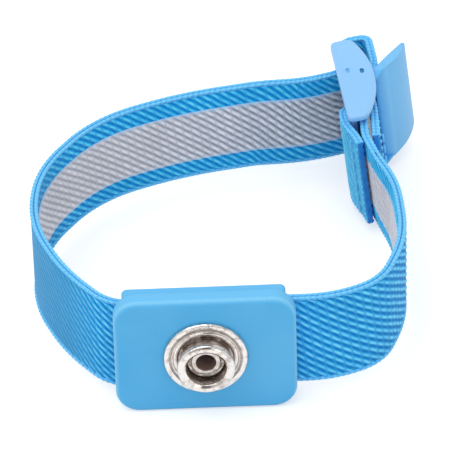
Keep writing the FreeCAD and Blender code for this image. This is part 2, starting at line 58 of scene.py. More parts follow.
on_plate = Matrix.Translation(PLATE_AT)
on_buckle = (Matrix.Translation(PLATE_AT + HINGE)
             @ Matrix.Rotation(BUCKLE_TURN, 4, "Z")
             @ Matrix.Rotation(BUCKLE_TILT, 4, "Y"))


def added(name, data):
    """A new object of the scene."""
    thing = bpy.data.objects.new(name, data)
    bpy.context.scene.collection.objects.link(thing)
    return thing


# Camera at the photograph's angle: about 36 degrees above the table, in front of the snap.

CAMERA_ELEVATION = math.radians(36.0)
CAMERA_YAW = math.radians(0.7)
CAMERA_ROLL = math.radians(1.7)
CAMERA_DISTANCE = 800.0
LOOK_AT = PLATE_AT + Vector((2.0, 30.0, 0.25))
FRAMING = (2.22, 4.75)
SENSOR_WIDTH = 36.0
SEEN_WIDTH = 80.0


def place_camera():
    flat = math.cos(CAMERA_ELEVATION)
    ahead = Vector((math.sin(CAMERA_YAW) * flat, math.cos(CAMERA_YAW) * flat, -math.sin(CAMERA_ELEVATION)))
    level = Vector((math.cos(CAMERA_YAW), -math.sin(CAMERA_YAW), 0.0))
    above = level.cross(ahead)
    right = level * math.cos(CAMERA_ROLL) - above * math.sin(CAMERA_ROLL)
    up = above * math.cos(CAMERA_ROLL) + level * math.sin(CAMERA_ROLL)
    stand = LOOK_AT + right * FRAMING[0] + up * FRAMING[1] - ahead * CAMERA_DISTANCE
    turn = Matrix((right, up, -ahead)).transposed().to_4x4()
    data = bpy.data.cameras.new("photo_camera")
    data.sensor_width = SENSOR_WIDTH
    data.lens = SENSOR_WIDTH * CAMERA_DISTANCE / SEEN_WIDTH
    data.clip_start = 0.01
    data.clip_end = 20.0
    camera = added("photo_camera", data)
    camera.matrix_world = Matrix.Translation(stand * MM) @ turn
    bpy.context.scene.camera = camera


place_camera()


# Colours are written as they look on a screen, 0 to 255.

def paint(red, green, blue):
    def linear(value):
        share = value / 255
        return share / 12.92 if share <= 0.04045 else ((share + 0.055) / 1.055) ** 2.4
    return (linear(red), linear(green), linear(blue), 1.0)


# Shader node groups shared by several finishes.

def start_group(name, inputs, outputs):
    """A node group that takes numbers, or a vector where there is no default, and puts out
    numbers."""
    group = bpy.data.node_groups.new(name, "ShaderNodeTree")
    for label, value in inputs.items():
        kind = "NodeSocketVector" if value is None else "NodeSocketFloat"
        socket = group.interface.new_socket(name=label, in_out="INPUT", socket_type=kind)
        if value is not None:
            socket.default_value = value
    for label in outputs:
        group.interface.new_socket(name=label, in_out="OUTPUT", socket_type="NodeSocketFloat")
    given, out = group.nodes.new("NodeGroupInput"), group.nodes.new("NodeGroupOutput")
    return group, given.outputs, out.inputs


class Shading:
    """Short ways to add and join nodes of one tree."""

    def __init__(self, tree):
        self.tree = tree

    def node(self, kind, given=(), **settings):
        """A node with these settings, whose inputs are given by number or by name."""
        made = self.tree.nodes.new(kind)
        for name, value in settings.items():
            setattr(made, name, value)
        self.give(made, given)
        return made

    def give(self, node, given):
        for socket, value in dict(given).items():
            self.feed(node.inputs[socket], value)

    def feed(self, socket, value):
        if isinstance(value, bpy.types.NodeSocket):
            self.tree.links.new(value, socket)
        else:
            socket.default_value = value

    def math(self, operation, first, second=0.0):
        return self.node("ShaderNodeMath", {0: first, 1: second}, operation=operation).outputs[0]

    def times(self, first, second):
        return self.math("MULTIPLY", first, second)

    def mix(self, factor, first, second):
        given = {0: factor, 6: first, 7: second}
        return self.node("ShaderNodeMix", given, data_type="RGBA").outputs[2]

    def parts(self, vector):
        return self.node("ShaderNodeSeparateXYZ", {0: vector}).outputs

    def remap(self, value, low, high, to_low=0.0, to_high=1.0):
        given = enumerate((value, low, high, to_low, to_high))
        return self.node("ShaderNodeMapRange", given).outputs[0]

    def noise(self, vector, scale, detail=2.0):
        given = {"Vector": vector, "Scale": scale, "Detail": detail}
        return self.node("ShaderNodeTexNoise", given).outputs["Fac"]

    def bump(self, height, strength, distance, **normal):
        given = {"Height": height, "Strength": strength, "Distance": distance, **normal}
        return self.node("ShaderNodeBump", given).outputs[0]


# How far the ribs wander, and how far each rib's swells sit past its neighbour's, as shares of
# a pitch.
RIB_WANDER = 0.3
SWELL_SHIFT = 0.1


def make_twill_group():
    """Slanting ribs of a woven face, each pinched at even steps along the band.

    Weave is along and across the band in millimetres. Rib is the rib's height, Float the swell
    between two pinches, and Chance a tone that changes from swell to swell."""
    group, given, out = start_group(
        "twill_ribs", {"Weave": None, "Along": 1.9, "Across": 1.47, "Pinch": 1.76},
        ("Rib", "Float", "Chance"))
    s = Shading(group)
    along, across, _ = s.parts(given["Weave"])
    wander = s.math("SUBTRACT", s.noise(given["Weave"], 0.5), 0.5)
    wander = s.times(wander, RIB_WANDER)
    turns = s.math("ADD", s.math("DIVIDE", along, given["Along"]),
                   s.math("DIVIDE", across, given["Across"]))
    turns = s.math("ADD", turns, wander)
    wave = s.math("COSINE", s.times(turns, 2 * math.pi))
    s.feed(out["Rib"], s.remap(wave, -1.0, 1.0))
    rib_number = s.math("FLOOR", s.math("ADD", turns, 0.5))
    place = s.math("DIVIDE", along, given["Pinch"])
    place = s.math("ADD", place, s.times(rib_number, SWELL_SHIFT))
    swell_number = s.math("FLOOR", place)
    off_middle = s.math("SUBTRACT", s.math("SUBTRACT", place, swell_number), 0.5)
    off_middle = s.times(off_middle, off_middle)
    s.feed(out["Float"], s.remap(off_middle, 0.0, 0.25, 1.0, 0.0))
    cell = s.node("ShaderNodeCombineXYZ", {0: rib_number, 1: swell_number})
    chance = s.node("ShaderNodeTexWhiteNoise", {"Vector": cell.outputs[0]})
    s.feed(out["Chance"], chance.outputs["Value"])
    return group


def make_cloudy_group():
    """Slow changes of tone and a fine grain, from the object's own coordinates."""
    group, given, out = start_group(
        "tone_and_grain", {"Patch": 90.0, "Grain": 2500.0}, ("Tone", "Grain"))
    s = Shading(group)
    place = s.node("ShaderNodeTexCoord").outputs["Object"]
    for size, result in (("Patch", "Tone"), ("Grain", "Grain")):
        s.feed(out[result], s.noise(place, given[size], 3.0))
    return group


TWILL = make_twill_group()
CLOUDY = make_cloudy_group()


def start_material(name, **settings):
    """A new material. Settings are its skin's inputs, with _ for each space."""
    material = bpy.data.materials.new(name)
    material.use_nodes = True
    skin = material.node_tree.nodes["Principled BSDF"]
    for label, value in settings.items():
        skin.inputs[label.replace("_", " ")].default_value = value
    return material, Shading(material.node_tree), skin


def grouped(shading, group, **values):
    return shading.node("ShaderNodeGroup", values, node_tree=group).outputs


# Most of a noise texture's values lie between these two.
NOISE_SPAN = (0.3, 0.7)

# Where the band bends hardest, on its left, it is pulled smooth, towards one even blue. This
# grows from the first to the second place in x, and in y.
PULLED_X = (-23.5, -29.0)
PULLED_Y = (12.0, -4.0)
PULLED_BLUE = paint(50, 150, 206)
PULLED_TINT = 0.75

# The grey stripe is painted paler and warmer towards the left and at the far right, which is
# painted light, and its relief is smoother there: where in x that starts, where it ends and how
# strong it is there.
PAINTED_LIGHT_GREY = paint(244, 230, 228)
PAINTED_LIGHT_ZONES = ((12.0, -28.0, 0.36), (22.0, 30.0, 0.4))

# How far from the band's middle the stripe's border starts and ends, and how strong it is.
BORDER = (4.5, 5.3, 0.8)

# The brown of the eyelet's bore is painted shade.
BORE_SHADE_BROWN = paint(156, 130, 118)

# Pitch of the loops of yarn at the band's edges, along and across the band.
EDGE_LOOP = (1.05, 2.4)


def woven_material(name, twill, groove_shade, rib, tip, soft, thin=0.0, border=None):
    """Diagonal ribs with darker grooves between them: the groove colour is painted shade, and tip,
    the colour along each rib's top, is a painted highlight. Twill is the ribs' slant and their pitch
    along and across the band. Soft is how far rib and groove blend at each pinch, thin how far the
    grooves are narrowed, and border a colour that the grey stripe takes at its edges."""
    slant, along, across = twill
    material, s, skin = start_material(name, Sheen_Weight=0.06, Sheen_Roughness=0.5,
                                       Specular_IOR_Level=0.25)
    weave = s.node("ShaderNodeUVMap", uv_map="weave").outputs[0]
    made = grouped(s, TWILL, Weave=weave, Along=along, Across=across * slant)
    clouds = grouped(s, CLOUDY, Patch=60.0, Grain=3000.0)
    spot = s.parts(s.node("ShaderNodeTexCoord").outputs["Object"])
    height = s.remap(made["Rib"], 0.1 - thin, 0.8 - thin)
    height = s.times(height, s.remap(made["Chance"], 0.0, 1.0, 0.8, 1.0))
    pinched = s.remap(made["Float"], 0.0, 0.75, soft, 0.0)
    height = s.mix(pinched, height, (0.5, 0.5, 0.5, 1))
    # The grooves take the darker groove colour: painted shade between the ribs.
    colour = s.mix(height, groove_shade, rib)
    # Along each rib's top the colour goes towards tip: a painted highlight.
    light = s.times(s.remap(made["Rib"], 0.6, 1.0), made["Float"])
    light = s.times(light, s.remap(made["Chance"], 0.0, 1.0, 0.45, 1.0))
    colour = s.mix(light, colour, tip)
    if border:
        start, end, strength = BORDER
        at_border = s.remap(s.math("ABSOLUTE", s.parts(weave)[1]), start, end, 0.0, strength)
        colour = s.mix(at_border, colour, border)
        # Towards the left and at the far right the grey goes paler and warmer: painted light.
        smooth = s.math("MAXIMUM", *[s.remap(spot[0], start * MM, end * MM, 0.0, strength)
                                     for start, end, strength in PAINTED_LIGHT_ZONES])
        colour = s.mix(smooth, colour, PAINTED_LIGHT_GREY)
    else:
        smooth = s.times(*[s.remap(spot[axis], start * MM, end * MM)
                           for axis, (start, end) in enumerate((PULLED_X, PULLED_Y))])
        colour = s.mix(s.times(smooth, PULLED_TINT), colour, PULLED_BLUE)
    value = s.remap(clouds["Tone"], *NOISE_SPAN, 0.93, 1.06)
    shade = s.node("ShaderNodeHueSaturation", {"Color": colour, "Value": value})
    relief = s.math("ADD", s.times(made["Rib"], 0.8), s.times(made["Float"], 0.4))
    relief = s.times(relief, s.remap(smooth, 0.0, 1.0, 1.0, 0.25))
    relief = s.math("ADD", relief, s.times(clouds["Grain"], 0.5))
    s.give(skin, {"Base Color": shade.outputs[0], "Roughness": s.remap(made["Rib"], 0.0, 1.0, 0.9, 0.6),
                  "Normal": s.bump(relief, 0.6, 0.0001)})
    return material


def plastic_material(name, colour, edge, roughness, grain=0.25):
    """Moulded plastic with a fine grain, slow changes of tone, and paler marked edges and sides:
    painted highlight and painted light.
    """
    material, s, skin = start_material(name, Specular_IOR_Level=0.4)
    clouds = grouped(s, CLOUDY, Patch=70.0, Grain=4200.0)
    rim = s.node("ShaderNodeAttribute", attribute_name="rim").outputs["Fac"]
    tone = s.remap(clouds["Tone"], *NOISE_SPAN, 0.0, 0.22)
    rim_highlight = s.times(rim, s.remap(clouds["Grain"], *NOISE_SPAN, 0.6, 1.0))
    s.give(skin, {"Base Color": s.mix(s.math("MAXIMUM", tone, rim_highlight), colour, edge),
                  "Roughness": s.remap(clouds["Grain"], *NOISE_SPAN, roughness - 0.06, roughness + 0.08),
                  "Normal": s.bump(clouds["Grain"], grain, 0.00002)})
    return material


def metal_material(name, colour, recess_shade, roughness, dents=0.0):
    """Metal with shallow dents, a dark film of painted shade that dulls its recesses, random darker
    patches, and a bore painted brown as shade.
    """
    material, s, skin = start_material(name)
    clouds = grouped(s, CLOUDY, Patch=900.0, Grain=6000.0)
    recess = s.node("ShaderNodeAttribute", attribute_name="rim").outputs["Fac"]
    shade_film = s.times(recess, s.remap(clouds["Tone"], 0.42, 0.58, 0.45, 1.0))
    shade_film = s.math("MAXIMUM", shade_film, s.remap(clouds["Tone"], 0.5, 0.7, 0.0, 0.45))
    shaded_bore = s.remap(recess, 0.8, 1.0)
    dented = s.bump(clouds["Tone"], dents, 0.00012)
    s.give(skin, {"Base Color": s.mix(shaded_bore, s.mix(shade_film, colour, recess_shade), BORE_SHADE_BROWN),
                  "Metallic": s.remap(shaded_bore, 0.0, 1.0, 1.0, 0.2),
                  "Roughness": s.remap(shade_film, 0.0, 1.0, roughness, roughness + 0.25),
                  "Normal": s.bump(clouds["Grain"], 0.12, 0.00001, Normal=dented)})
    return material


def cord_material(name, colour, shade_colour, pitch=EDGE_LOOP[0]):
    """Smooth cord of yarn along the band's edges, whose loops leave small darker gaps."""
    material, s, skin = start_material(name, Sheen_Weight=0.2)
    weave = s.node("ShaderNodeUVMap", uv_map="weave").outputs[0]
    made = grouped(s, TWILL, Weave=weave, Along=pitch, Across=-EDGE_LOOP[1])
    clouds = grouped(s, CLOUDY, Patch=60.0, Grain=3000.0)
    gap = s.times(s.remap(made["Rib"], 0.0, 0.7, 0.6, 0.0), s.remap(made["Chance"], 0.0, 1.0, 0.4, 1.0))
    s.give(skin, {"Base Color": s.mix(gap, colour, shade_colour),
                  "Roughness": s.remap(clouds["Grain"], *NOISE_SPAN, 0.6, 0.8),
                  "Normal": s.bump(made["Rib"], 0.5, 0.00008)})
    return material


# The ribs of each woven face: which way they slant, and their pitch along and across the band.
OUTER_TWILL = (-1, 2.1, 1.5)
INNER_TWILL = (1, 1.83, 1.47)
LEAF_TWILL = (-1, 1.75, 1.2)

# In each weave the groove colour is painted shade and the tip colour a painted highlight.
outer_weave = woven_material("woven_blue_outer", OUTER_TWILL, paint(0, 128, 202), paint(66, 194, 255),
                             paint(128, 226, 255), soft=0.75)
inner_weave = woven_material("woven_blue_inner", INNER_TWILL, paint(0, 138, 214), paint(54, 200, 255),
                             paint(114, 228, 255), soft=0.45)
# The leaf's colours are a lighter copy of the outer weave, painted light against the shade the leaf lies in;
# its twill is its own.
leaf_weave_lit = woven_material("woven_blue_leaf_lit", LEAF_TWILL, paint(26, 158, 224), paint(104, 216, 255),
                            paint(136, 230, 255), soft=0.6)
stripe_weave = woven_material("conductive_weave", INNER_TWILL, paint(122, 134, 152), paint(222, 226, 236),
                              paint(250, 250, 254), soft=0.6, thin=0.12, border=paint(176, 212, 244))
cord_blue = cord_material("cord_blue", paint(106, 202, 252), paint(50, 160, 224))
core_blue = cord_material("core_blue", paint(70, 184, 244), paint(40, 150, 220))
# The folded and cut ends of the band are painted a darker blue: painted shade.
fold_shade_blue = cord_material("fold_shade_blue", paint(0, 132, 216), paint(0, 104, 190))
thread_blue = cord_material("thread_blue", paint(108, 204, 252), paint(70, 168, 228), 0.5)
# Each plastic's second colour is the paler one on its marked edges and sides: painted highlight and painted
# light.
moulded_blue = plastic_material("moulded_blue", paint(75, 177, 234), paint(132, 205, 242), 0.5)
# The buckle frame's blue is painted paler than the lever's: painted light on its cheeks, which face up.
buckle_blue = plastic_material("buckle_blue", paint(136, 195, 246), paint(168, 214, 251), 0.42, 0.12)
# The two mark colours are painted shade for the cheeks' sunk marks.
mark_shade_blue = plastic_material("mark_shade_blue", paint(30, 124, 180), paint(70, 156, 208), 0.5)
faint_mark_shade_blue = plastic_material("faint_mark_shade_blue", paint(112, 182, 232), paint(140, 200, 242), 0.5)
lever_blue = plastic_material("lever_blue", paint(64, 171, 236), paint(136, 202, 246), 0.46, 0.12)
# The second colour of each metal is the dark film, painted shade in its recesses.
nickel = metal_material("nickel", paint(228, 222, 217), paint(106, 84, 72), 0.14, 0.8)
stainless = metal_material("stainless", paint(190, 190, 192), paint(140, 138, 138), 0.28)


# The band's course. It starts at the tail of the leaf that is sewn back at the near bar, goes
# round the bar, follows the wrist from the front round to the buckle, enters between the
# cheeks, turns back in a slack loop and ends in the free end. Outward is on the left. It is
# drawn in steps of COURSE_STEP, smoothed, and then divided into rows a STEP apart.

COURSE_STEP = 0.2
SMOOTHING = 2.0
STEP = 1.9 / 8


def rounded_run(corners, radii, step):
    """Points about a step apart on straight runs joined by arcs."""
    points = [corners[0]]

    def walk(target):
        start = points[-1]
        pieces = max(1, round((target - start).length / step))
        for index in range(1, pieces + 1):
            points.append(start.lerp(target, index / pieces))

    for index in range(1, len(corners) - 1):
        into = (corners[index] - corners[index - 1]).normalized()
        away = (corners[index + 1] - corners[index]).normalized()
        turn = math.atan2(into.x * away.y - into.y * away.x, into.dot(away))
        radius = radii[index - 1]
        reach = radius * math.tan(abs(turn) / 2)
        side = math.copysign(1.0, turn)
        first = corners[index] - into * reach
        centre = first + Vector((-into.y, into.x)) * side * radius
        walk(first)
        pieces = max(2, round(abs(turn) * radius / step))
        for part in range(1, pieces + 1):
            spoke = Matrix.Rotation(turn * part / pieces, 2) @ (first - centre)
            points.append(centre + spoke)
    walk(corners[-1])
    return points


def widest_radii(corners):
    """For each corner the widest arc that takes less than half of the runs beside it."""
    radii = []
    for before, corner, after in zip(corners, corners[1:], corners[2:]):
        into, away = corner - before, after - corner
        turn = abs(into.angle_signed(away))
        radii.append(0.47 * min(into.length, away.length) / math.tan(turn / 2))
    return radii


def plan(*pairs):
    return [Vector(pair) for pair in pairs]


SLOT_Y = 4.3
AROUND = plan((32.9, 46.4), (35.2, 38.4), (35.7, 20.98), (30.99, 8.39), (22.15, SLOT_Y),
              (-16.35, SLOT_Y), (-24.22, 14.59), (-29.9, 29.03), (-28.61, 45.0), (-18.6, 59.99),
              (-3.0, 67.0), (28.0, 73.3))
AROUND_RADII = widest_radii(AROUND)

# The band bends more tightly where it leaves the plate, on its right and on its left.
for index, radius in ((3, 22.0), (4, 9.0)):
    AROUND_RADII[index] = min(AROUND_RADII[index], radius)


def into_buckle(point):
    return Matrix.Rotation(-BUCKLE_TURN, 2) @ (point - HINGE.xy)


START, SECOND, BEFORE, LAST = [into_buckle(AROUND[index]) for index in (0, 1, -2, -1)]
START_GAP = 0.3
ENTRY_U = -4.3
SLOPE = (LAST.y - BEFORE.y) / (LAST.x - BEFORE.x)
ENTRY_V = LAST.y + (ENTRY_U - LAST.x) * SLOPE
FAR_LEG = -1.85
PIN_LEG = 2.0
SEWN = plan((-1.9, -19.0), (-2.35, -16.4), (-3.7, -11.6), (-3.7, -7.1), (-0.3, -7.1), (-0.3, -11.6),
            (-0.65, -16.4), START + (START - SECOND).normalized() * START_GAP)
SEWN_RADII = [8.0, 10.0, 1.68, 1.68, 10.0, 10.0]
LOOPED = plan((ENTRY_U, ENTRY_V), (FAR_LEG, ENTRY_V + (FAR_LEG - ENTRY_U) * SLOPE), (FAR_LEG, 9.1),
              (-0.4, 14.6), (4.25, 14.6), (4.2, 5.4), (PIN_LEG, 1.4), (PIN_LEG, -9.0),
              (1.4, -16.0), (1.2, -17.6))
LOOPED_RADII = [2.0, 4.0, 2.2, 1.5, 5.0, 4.0, 20.0, 20.0]

# The stretch round the wrist stops short of the entry. Over the last LEAN_RUN before each of
# its ends it leans over to the buckle's tilt.
ENTRY_CLEAR = 12.0
LEAN_RUN = 16.0
LEAN = 0.1045

# The slack loop starts where the band crosses to the pin's side, and the free end starts where
# it comes back level with the pin.
LOOP_ROWS_LEAST = 20
FREE_FROM_V = 0.6


def bell(spread):
    """How many neighbours a bell curve reaches on each side, and its weights."""
    reach = int(3 * spread)
    weights = np.exp(-0.5 * (np.arange(-reach, reach + 1) / spread) ** 2)
    return reach, weights / weights.sum()


def smoothed(values, spread):
    """Each row of values averaged with its neighbours, ends held."""
    reach, weights = bell(spread)
    padded = [np.pad(column, (reach, reach), "reflect", reflect_type="odd") for column in values.T]
    return np.stack([np.convolve(column, weights, "valid") for column in padded], axis=1)


def share_between(value, start, end):
    """0 up to the start, 1 from the end on, and even in between."""
    return np.clip((value - start) / (end - start), 0.0, 1.0)


def placed_run(stand, corners, radii):
    return [stand @ point.to_3d() for point in rounded_run(corners, radii, COURSE_STEP)]


def unit(rows):
    return rows / np.linalg.norm(rows, axis=1, keepdims=True)


def lay_course():
    """Centre line, upward and outward directions every STEP, and where each stretch starts."""
    sewn = placed_run(on_buckle, SEWN, SEWN_RADII)
    entry = on_buckle @ Vector((ENTRY_U, ENTRY_V, 0.0))
    around = [point for point in placed_run(on_plate, AROUND, AROUND_RADII)
              if (point - entry).x < 0 or point.y < entry.y - ENTRY_CLEAR][1:-1]
    looped = placed_run(on_buckle, LOOPED, LOOPED_RADII)
    upright = Vector((0, 0, 1))
    tilted = (on_buckle.to_3x3() @ upright).normalized()
    points = sewn + around + looped
    ups = [tilted] * len(sewn)
    for index, point in enumerate(around):
        left = min(index, len(around) - 1 - index) * COURSE_STEP
        share = max(0.0, 1 - left / LEAN_RUN)
        share = share * share * (3 - 2 * share)
        in_buckle = on_buckle.inverted() @ point
        point.z += LEAN * in_buckle.x * share
        ups.append(upright.lerp(tilted, share).normalized())
    ups += [tilted] * len(looped)
    line = smoothed(np.array(points), SMOOTHING)
    gaps = np.linalg.norm(np.diff(line, axis=0), axis=1)
    travel = np.concatenate([[0.0], np.cumsum(gaps)])
    count = int(travel[-1] / STEP)
    stations = np.arange(count + 1) * STEP
    line, ups = [np.stack([np.interp(stations, travel, column) for column in rows.T], axis=1)
                 for rows in (line, np.array(ups))]
    ahead = unit(np.gradient(line, axis=0))
    outward = unit(np.cross(ups, ahead))
    ups = np.cross(ahead, outward)
    sewn_end = round(travel[len(sewn) - 1] / STEP)
    entry_row = round(travel[len(sewn) + len(around)] / STEP)
    return line, ups, outward, sewn_end, entry_row


LINE, UPS, OUTWARD, SEWN_ROW, ENTRY_ROW = lay_course()
LAST_ROW = len(LINE) - 1


def row_where(start, stop, test):
    """The first row whose place on the buckle's axes passes the test."""
    back = on_buckle.inverted()
    return next(row for row in range(start, stop) if test(back @ Vector(LINE[row])))


LOOP_ROW = row_where(ENTRY_ROW, LAST_ROW, lambda at: at.x > PIN_LEG)
FREE_ROW = row_where(LOOP_ROW + LOOP_ROWS_LEAST, LAST_ROW, lambda at: at.y < FREE_FROM_V)


# Woven strips are made as a grid of points, of which each row is one crossing of the band.

WELD_ROWS = 2e-7
SHARP = math.radians(38)


def wrapped_grid(name, place, finishes, finish_of, texture, end_finish):
    """A closed skin over rows of points, in millimetres, whose columns wrap round. Each end is
    filled. Texture gives each point its "weave" place."""
    rows, columns = place.shape[0] - 1, place.shape[1]
    bm = bmesh.new()
    weave = bm.loops.layers.uv.new("weave")
    bmesh.ops.create_grid(bm, x_segments=rows, y_segments=columns, size=1.0)
    marks = {}
    for vertex in bm.verts:
        row = round((vertex.co.x + 1) / 2 * rows)
        column = round((vertex.co.y + 1) / 2 * columns)
        marks[vertex] = (row, column)
        vertex.co = Vector(place[row, column % columns]) * MM
    for face in bm.faces:
        corner = min(marks[vertex] for vertex in face.verts)
        face.material_index = finish_of(corner[0], corner[1])
        for loop in face.loops:
            row, column = marks[loop.vert]
            loop[weave].uv = texture[row, column % columns]
    bmesh.ops.remove_doubles(bm, verts=bm.verts, dist=WELD_ROWS)
    ends = [edge for edge in bm.edges if edge.is_boundary]
    filled = bmesh.ops.holes_fill(bm, edges=ends, sides=0)
    for face in filled["faces"]:
        face.material_index = end_finish
    return finish_mesh(bm, name, finishes)


def finish_mesh(bm, name, finishes):
    """An object from a closed bmesh, smooth but for its sharp edges."""
    bmesh.ops.recalc_face_normals(bm, faces=bm.faces)
    for face in bm.faces:
        face.smooth = True
    for edge in bm.edges:
        edge.smooth = len(edge.link_faces) != 2 or edge.calc_face_angle() < SHARP
    mesh = bpy.data.meshes.new(name)
    bm.to_mesh(mesh)
    bm.free()
    for finish in finishes:
        mesh.materials.append(finish)
    return added(name, mesh)


def finished(piece, node, body="strap"):
    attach(piece, body)
    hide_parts(node)
    return piece


# A crossing of the band, as columns that go once round its section. Each column has its place
# across the band, its height from the middle, how much the ribs and the loops of yarn at the
# edge lift it, and the finish of the stretch after it.

BEAD_AT = 8.82
BEAD_WIDE = 0.28
BEAD_HIGH = 0.3
BEAD_RISE = 0.37
BEAD_LOW, BEAD_FAR, BEAD_POINTS = -60, 150, 9
GROOVE_AT = 8.52
GROOVE_LEVEL = 0.4
RIB_HALF = 8.42
RIB_LEVEL = 0.57
RIB_LIFT = 0.22
SHOULDER_FROM = 7.2
SHOULDER_RUN = 1.2
SHOULDER_DROP = 0.13
STRIPE_HALF = 5.3
LOOP_LIFT = 0.11
PULLED_FLAT = 0.9
PLY_BACK_HALF = 8.55
PLY_BACK_LEVEL = 0.12
CORE_HALF = 8.84
CORE_LEVEL = 0.05
CORE_RIDGE = 0.06
GAP_AT = 8.87
GAP_HALF = 0.05

# A hem is rounded over HEM_ROUND, down to a share of its height at its end, and the cut or
# folded yarns show over HEM_FOLD, painted a darker blue as painted shade.
HEM_ROUND = 0.5
HEM_THIN = 0.25
HEM_FOLD = 0.2

WEAVE, CORD, CORE, STRIPE, INNER, FOLD = range(6)


def rib_wave(along, across, twill):
    slant, along_pitch, across_pitch = twill
    wave = 0.5 + 0.5 * np.cos(2 * math.pi * (along / along_pitch + slant * across / across_pitch))
    return wave ** 0.8


def bead_columns(side, first, last, count):
    """The rounded cord at one edge of a ply, between two angles of its section in degrees."""
    turns = np.radians(np.linspace(first, last, count))
    return [(side * (BEAD_AT + BEAD_WIDE * math.cos(turn)), BEAD_RISE + BEAD_HIGH * math.sin(turn),
             0.0, max(0.0, math.sin(turn + 0.4)), CORD) for turn in turns]


def face_columns(fine):
    """The ribbed face of a ply from its left edge to its right edge, with a cord at each."""
    ribs = []
    for place in np.linspace(-RIB_HALF, RIB_HALF, fine):
        drop = SHOULDER_DROP * max(0.0, abs(place) - SHOULDER_FROM) / SHOULDER_RUN
        ribs.append((place, RIB_LEVEL - drop, 1.0, 0.0, WEAVE))
    ribs[-1] = ribs[-1][:4] + (CORD,)
    left = bead_columns(-1, BEAD_LOW, BEAD_FAR, BEAD_POINTS)
    right = bead_columns(1, BEAD_FAR, BEAD_LOW, BEAD_POINTS)
    return (left + [(-GROOVE_AT, GROOVE_LEVEL, 0.0, 0.0, CORD)] + ribs
            + [(GROOVE_AT, GROOVE_LEVEL, 0.0, 0.0, CORD)] + right)


def mirrored(columns):
    """The same face seen from the other side of the band."""
    flipped = [(across, -height, -rib, -fringe, finish)
               for across, height, rib, fringe, finish in reversed(columns)]
    shifted = [column[4] for column in flipped[1:]] + [CORD]
    return [column[:4] + (finish,) for column, finish in zip(flipped, shifted)]


def lay_strip(name, first, last, columns, finishes, twills, hem=0):
    """A closed woven strip between two rows of the course. Twills are the ribs of its outer and
    its inner face. Hem is 1 where the first row is a folded edge, and -1 where the last row is."""
    along = np.arange(first, last + 1) * STEP
    across = np.array([column[0] for column in columns])
    line = LINE[first:last + 1]
    pulled = share_between(line[:, 0], *PULLED_X) * share_between(line[:, 1], *PULLED_Y)
    heights = []
    for place, height, rib, fringe, _ in columns:
        twill = twills[0] if rib > 0 or fringe > 0 else twills[1]
        lift = rib * RIB_LIFT * rib_wave(along, place, twill) * (1 - PULLED_FLAT * pulled)
        loops = 0.5 + 0.5 * np.cos(2 * math.pi * (along / EDGE_LOOP[0] - place / EDGE_LOOP[1]))
        heights.append(height + lift + fringe * LOOP_LIFT * loops)
    heights = np.stack(heights, axis=1)
    if hem:
        from_hem = np.arange(last - first + 1)[::hem] * STEP
        rounding = 1 - np.clip(1 - from_hem / HEM_ROUND, 0, 1) ** 2
        heights *= np.sqrt(np.clip(rounding, HEM_THIN, 1))[:, None]
    points = (line[:, None, :] + UPS[first:last + 1, None, :] * across[None, :, None]
              + OUTWARD[first:last + 1, None, :] * heights[:, :, None])
    turn = np.array([column[1] if column[4] in (CORD, CORE) else 0.0 for column in columns])
    texture = np.stack(np.broadcast_arrays(along[:, None], (across + turn)[None, :]), axis=2)

    def finish_of(row, column):
        if hem and min(from_hem[row], from_hem[row + 1]) < HEM_FOLD:
            return FOLD
        return columns[column][4]
    return wrapped_grid(name, points, finishes, finish_of, texture, FOLD if hem else WEAVE)


PLY_BACK = [(place, PLY_BACK_LEVEL, 0.0, 0.0, CORD) for place in (PLY_BACK_HALF, 0.0, -PLY_BACK_HALF)]
PLY = face_columns(68) + PLY_BACK
outer_ply = lay_strip("outer_weave", SEWN_ROW, ENTRY_ROW, PLY, [outer_weave, cord_blue],
                      [OUTER_TWILL] * 2)
finished(outer_ply, "band_outer_ply")
inner_ply = lay_strip("inner_weave", SEWN_ROW, ENTRY_ROW, mirrored(PLY), [inner_weave, cord_blue],
                      [INNER_TWILL] * 2)
finished(inner_ply, "band_inner_ply")

# The elastic between the plies is ridged lengthwise by its rubber threads.
CORE_ROWS_SHORT = 4
ridges = [(place, CORE_LEVEL + CORE_RIDGE * (index % 2), 0.0, 0.0, WEAVE)
          for index, place in enumerate(np.linspace(-CORE_HALF, CORE_HALF, 41))]
core_columns = ridges + [(place, -height, 0.0, 0.0, WEAVE) for place, height, *_ in reversed(ridges)]
core = lay_strip("elastic_core", SEWN_ROW + CORE_ROWS_SHORT, ENTRY_ROW - CORE_ROWS_SHORT,
                 core_columns, [core_blue], [OUTER_TWILL] * 2)
finished(core, "band_elastic_core")

# The stripe lies on the inner ply, whose ribs go on through it a little lower.
STRIPE_LEVEL, STRIPE_RIBS, STRIPE_BACK = -0.83, -0.6, -0.6
stripe_face = [(place, STRIPE_LEVEL, STRIPE_RIBS, 0.0, WEAVE)
               for place in np.linspace(STRIPE_HALF, -STRIPE_HALF, 46)]
stripe_edges = [(place, STRIPE_BACK, 0.0, 0.0, WEAVE) for place in (-STRIPE_HALF, STRIPE_HALF)]
stripe = lay_strip("stripe_weave", SEWN_ROW, ENTRY_ROW, stripe_face + stripe_edges, [stripe_weave],
                   [INNER_TWILL] * 2)
finished(stripe, "conductive_stripe")


def whole_band_columns(fine):
    """Both plies in one closed section, whose core shows between the cords at each edge."""
    gap_right = [(GAP_AT, GAP_HALF, 0.0, 0.0, CORE), (GAP_AT, -GAP_HALF, 0.0, 0.0, CORE)]
    gap_left = [(-GAP_AT, -GAP_HALF, 0.0, 0.0, CORE), (-GAP_AT, GAP_HALF, 0.0, 0.0, CORD)]
    front = face_columns(fine)
    front[-1] = front[-1][:4] + (CORE,)
    back = []
    for column in mirrored(face_columns(fine)):
        finish = column[4]
        if finish == WEAVE:
            finish = STRIPE if abs(column[0]) < STRIPE_HALF else INNER
        back.append(column[:4] + (finish,))
    back[-1] = back[-1][:4] + (CORE,)
    return front + gap_right + back + gap_left


